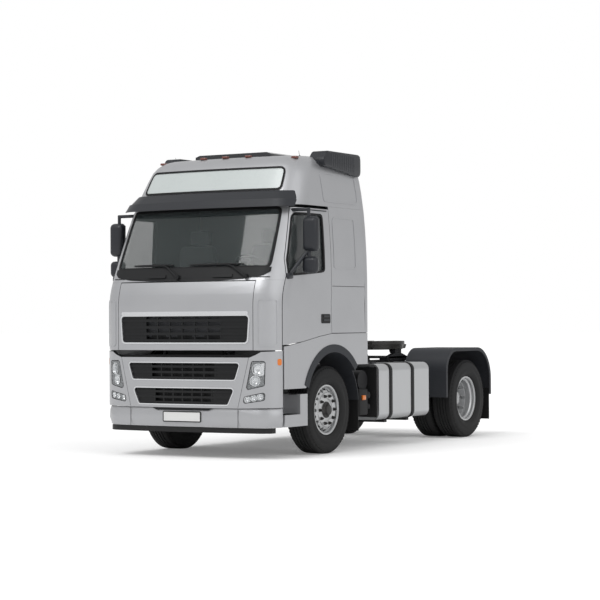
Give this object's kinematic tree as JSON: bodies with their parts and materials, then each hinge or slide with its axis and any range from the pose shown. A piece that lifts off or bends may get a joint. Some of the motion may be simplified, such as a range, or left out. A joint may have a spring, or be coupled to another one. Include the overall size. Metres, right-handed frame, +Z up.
{
  "type": "semi truck tractor unit",
  "caption": "Forward-control tractor unit with a high sleeper cab, twin rear tyres and a fifth wheel coupling",
  "frame": {"origin": "on the ground, in the middle of the overall length and width", "axes": "+Z up, the front faces -Y, the driver's left side is +X"},
  "size_m": [2.944, 5.7958, 3.612],
  "materials": {
    "frame_black": "satin",
    "coupling_steel": "greased",
    "drive_grey": "rough",
    "cooler_black": "matt",
    "tank_aluminium": "satin",
    "box_grey": "satin",
    "silver_paint": "metallic gloss",
    "black_plastic": "grained",
    "guard_plastic": "grained",
    "flap_rubber": "matt",
    "deck_metal": "tread plate",
    "lamp_clear": "clear lens",
    "lamp_red": "clear lens",
    "floor_trim": "grained",
    "screen_glass": "clear",
    "sign_white": "gloss",
    "hatch_dark": "gloss",
    "seat_cloth": "woven",
    "tyre_rubber": "matt",
    "rim_steel": "silver lacquer"
  },
  "bodies": {
    "chassis": {"frame_rails": "frame_black", "crossmembers": "frame_black", "cab_mounts": "frame_black", "driveline": "drive_grey", "radiator": "cooler_black", "front_axle": "frame_black", "springs": "frame_black", "rear_axle": "frame_black", "air_bellows": "frame_black", "fuel_tank": "tank_aluminium", "side_boxes": "box_grey", "box_brackets": "frame_black", "air_tanks": "frame_black", "bumper": "silver_paint", "bumper_lower": "silver_paint", "bumper_lip": "black_plastic", "lower_grilles": "black_plastic", "headlamps": "lamp_clear", "steps": "silver_paint", "side_panels": "silver_paint", "wheel_arches": "guard_plastic", "mudflaps": "flap_rubber", "rear_guards": "guard_plastic", "deck_plate": "deck_metal", "coupling_base": "frame_black", "tail_lamps": "lamp_red"},
    "cab": {"cab_floor": "floor_trim", "cab_front": "silver_paint", "windscreen": "screen_glass", "cab_sides": "silver_paint", "cab_back": "silver_paint", "roof": "silver_paint", "sun_visor": "black_plastic", "roof_sign": "sign_white", "air_intake": "black_plastic", "dashboard": "floor_trim", "steering_wheel": "black_plastic", "seat_bases": "floor_trim", "seats": "seat_cloth", "bunk_base": "floor_trim", "mattress": "seat_cloth"},
    "front_lid": {"front_lid": "silver_paint"},
    "roof_hatch": {"roof_hatch": "hatch_dark"},
    "door_left": {"door_left": "silver_paint"},
    "door_right": {"door_right": "silver_paint"},
    "coupling_plate": {"coupling_plate": "coupling_steel"},
    "knuckle_left": {"knuckle_left": "frame_black"},
    "knuckle_right": {"knuckle_right": "frame_black"},
    "track_rod": {"track_rod": "frame_black"},
    "front_wheel_left": {"front_tyre_left": "tyre_rubber", "front_rim_left": "rim_steel"},
    "front_wheel_right": {"front_tyre_right": "tyre_rubber", "front_rim_right": "rim_steel"},
    "rear_wheels_left": {"rear_tyres_left": "tyre_rubber", "rear_rims_left": "rim_steel"},
    "rear_wheels_right": {"rear_tyres_right": "tyre_rubber", "rear_rims_right": "rim_steel"}
  },
  "joints": [
    {"name": "cab_tilt", "type": "hinge", "parent": "chassis", "child": "cab", "pos_m": [0, -2.7, 1], "axis": [1, 0, 0], "range_deg": [0, 60]},
    {"name": "lid_hinge", "type": "hinge", "parent": "cab", "child": "front_lid", "pos_m": [0, -2.821, 2.04], "axis": [-1, 0, 0], "range_deg": [0, 75]},
    {"name": "hatch_hinge", "type": "hinge", "parent": "cab", "child": "roof_hatch", "pos_m": [0, -1.77, 3.5555], "axis": [1, 0, 0], "range_deg": [0, 12]},
    {"name": "door_left_hinge", "type": "hinge", "parent": "cab", "child": "door_left", "pos_m": [1.213, -2.625, 2], "axis": [0, 0, -1], "range_deg": [0, 80]},
    {"name": "door_right_hinge", "type": "hinge", "parent": "cab", "child": "door_right", "pos_m": [-1.213, -2.625, 2], "axis": [0, 0, 1], "range_deg": [0, 80]},
    {"name": "coupling_tilt", "type": "hinge", "parent": "chassis", "child": "coupling_plate", "pos_m": [0, 1.63, 1.19], "axis": [1, 0, 0], "range_deg": [-12, 12]},
    {"name": "steer_left", "type": "hinge", "parent": "chassis", "child": "knuckle_left", "pos_m": [0.915, -1.5, 0.522], "axis": [0, 0, 1], "range_deg": [-40, 40]},
    {"name": "steer_right", "type": "hinge", "parent": "chassis", "child": "knuckle_right", "pos_m": [-0.915, -1.5, 0.522], "axis": [0, 0, 1], "range_deg": [-40, 40]},
    {"name": "track_rod_pivot", "type": "hinge", "parent": "knuckle_left", "child": "track_rod", "pos_m": [0.915, -1.33, 0.404], "axis": [0, 0, 1], "range_deg": [-40, 40]},
    {"name": "front_left_spin", "type": "hinge", "parent": "knuckle_left", "child": "front_wheel_left", "pos_m": [1.02, -1.5, 0.522], "axis": [1, 0, 0], "continuous": true},
    {"name": "front_right_spin", "type": "hinge", "parent": "knuckle_right", "child": "front_wheel_right", "pos_m": [-1.02, -1.5, 0.522], "axis": [1, 0, 0], "continuous": true},
    {"name": "rear_left_spin", "type": "hinge", "parent": "chassis", "child": "rear_wheels_left", "pos_m": [0.895, 2.2, 0.522], "axis": [1, 0, 0], "continuous": true},
    {"name": "rear_right_spin", "type": "hinge", "parent": "chassis", "child": "rear_wheels_right", "pos_m": [-0.895, 2.2, 0.522], "axis": [1, 0, 0], "continuous": true}
  ],
  "couplings": [
    {"joint": "steer_right", "follows": "steer_left", "ratio": 1},
    {"joint": "track_rod_pivot", "follows": "steer_left", "ratio": -1}
  ]
}
